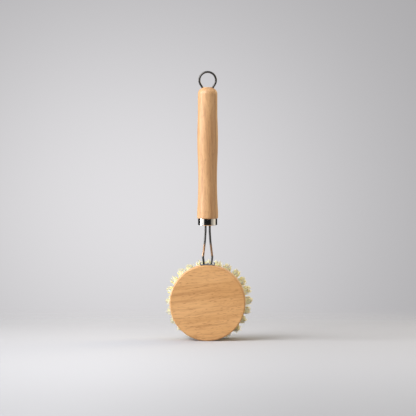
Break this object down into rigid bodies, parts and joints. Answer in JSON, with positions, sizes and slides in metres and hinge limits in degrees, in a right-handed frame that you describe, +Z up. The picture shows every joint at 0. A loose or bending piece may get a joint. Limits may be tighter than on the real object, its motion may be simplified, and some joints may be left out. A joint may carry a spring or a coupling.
{
  "type": "dish brush",
  "caption": "Round wooden dish brush with a turned beech handle, spring-wire prongs that unclip the replaceable bristle head, and a wire hanging ring.",
  "frame": {"origin": "on the surface that the disc's rim stands on, in the middle of the overall width and depth", "axes": "+Z up the handle towards the hanging ring, +Y the way the bristles point, -Y out of the bare wooden face, +X to the right as seen from that face"},
  "size_m": [0.0736, 0.043, 0.2248],
  "materials": {
    "beech": "satin",
    "steel": "polished",
    "bristle": "matte"
  },
  "bodies": {
    "handle": {"handle": "beech", "ferrule": "steel", "hanging_ring": "steel", "hairpin_wire": "steel"},
    "left_prong": {"left_prong": "steel"},
    "right_prong": {"right_prong": "steel"},
    "head": {"head_block": "beech", "clip_plate": "steel", "front_nail": "steel", "back_nail": "steel", "tuft_centre": "bristle", "tuft_inner_01": "bristle", "tuft_inner_02": "bristle", "tuft_inner_03": "bristle", "tuft_inner_04": "bristle", "tuft_inner_05": "bristle", "tuft_inner_06": "bristle", "tuft_inner_07": "bristle", "tuft_inner_08": "bristle", "tuft_middle_01": "bristle", "tuft_middle_02": "bristle", "tuft_middle_03": "bristle", "tuft_middle_04": "bristle", "tuft_middle_05": "bristle", "tuft_middle_06": "bristle", "tuft_middle_07": "bristle", "tuft_middle_08": "bristle", "tuft_middle_09": "bristle", "tuft_middle_10": "bristle", "tuft_middle_11": "bristle", "tuft_middle_12": "bristle", "tuft_middle_13": "bristle", "tuft_middle_14": "bristle", "tuft_middle_15": "bristle", "tuft_middle_16": "bristle", "tuft_outer_01": "bristle", "tuft_outer_02": "bristle", "tuft_outer_03": "bristle", "tuft_outer_04": "bristle", "tuft_outer_05": "bristle", "tuft_outer_06": "bristle", "tuft_outer_07": "bristle", "tuft_outer_08": "bristle", "tuft_outer_09": "bristle", "tuft_outer_10": "bristle", "tuft_outer_11": "bristle", "tuft_outer_12": "bristle", "tuft_outer_13": "bristle", "tuft_outer_14": "bristle", "tuft_outer_15": "bristle", "tuft_outer_16": "bristle", "tuft_outer_17": "bristle", "tuft_outer_18": "bristle", "tuft_outer_19": "bristle", "tuft_outer_20": "bristle", "tuft_outer_21": "bristle", "tuft_outer_22": "bristle", "tuft_outer_23": "bristle", "tuft_outer_24": "bristle"}
  },
  "joints": [
    {"name": "head_release", "type": "slide", "parent": "handle", "child": "head", "axis": [0, 0, -1], "range_m": [0, 0.016]},
    {"name": "left_prong_squeeze", "type": "hinge", "parent": "handle", "child": "left_prong", "pos_m": [-0.00175, -0.0115, 0.0973], "axis": [0, -1, 0], "range_deg": [0, 3.4]},
    {"name": "right_prong_squeeze", "type": "hinge", "parent": "handle", "child": "right_prong", "pos_m": [0.00175, -0.0115, 0.0973], "axis": [0, 1, 0], "range_deg": [0, 3.4]}
  ],
  "couplings": [
    {"joint": "left_prong_squeeze", "follows": "head_release", "rad_per_m": 3.6},
    {"joint": "right_prong_squeeze", "follows": "head_release", "rad_per_m": 3.6}
  ]
}
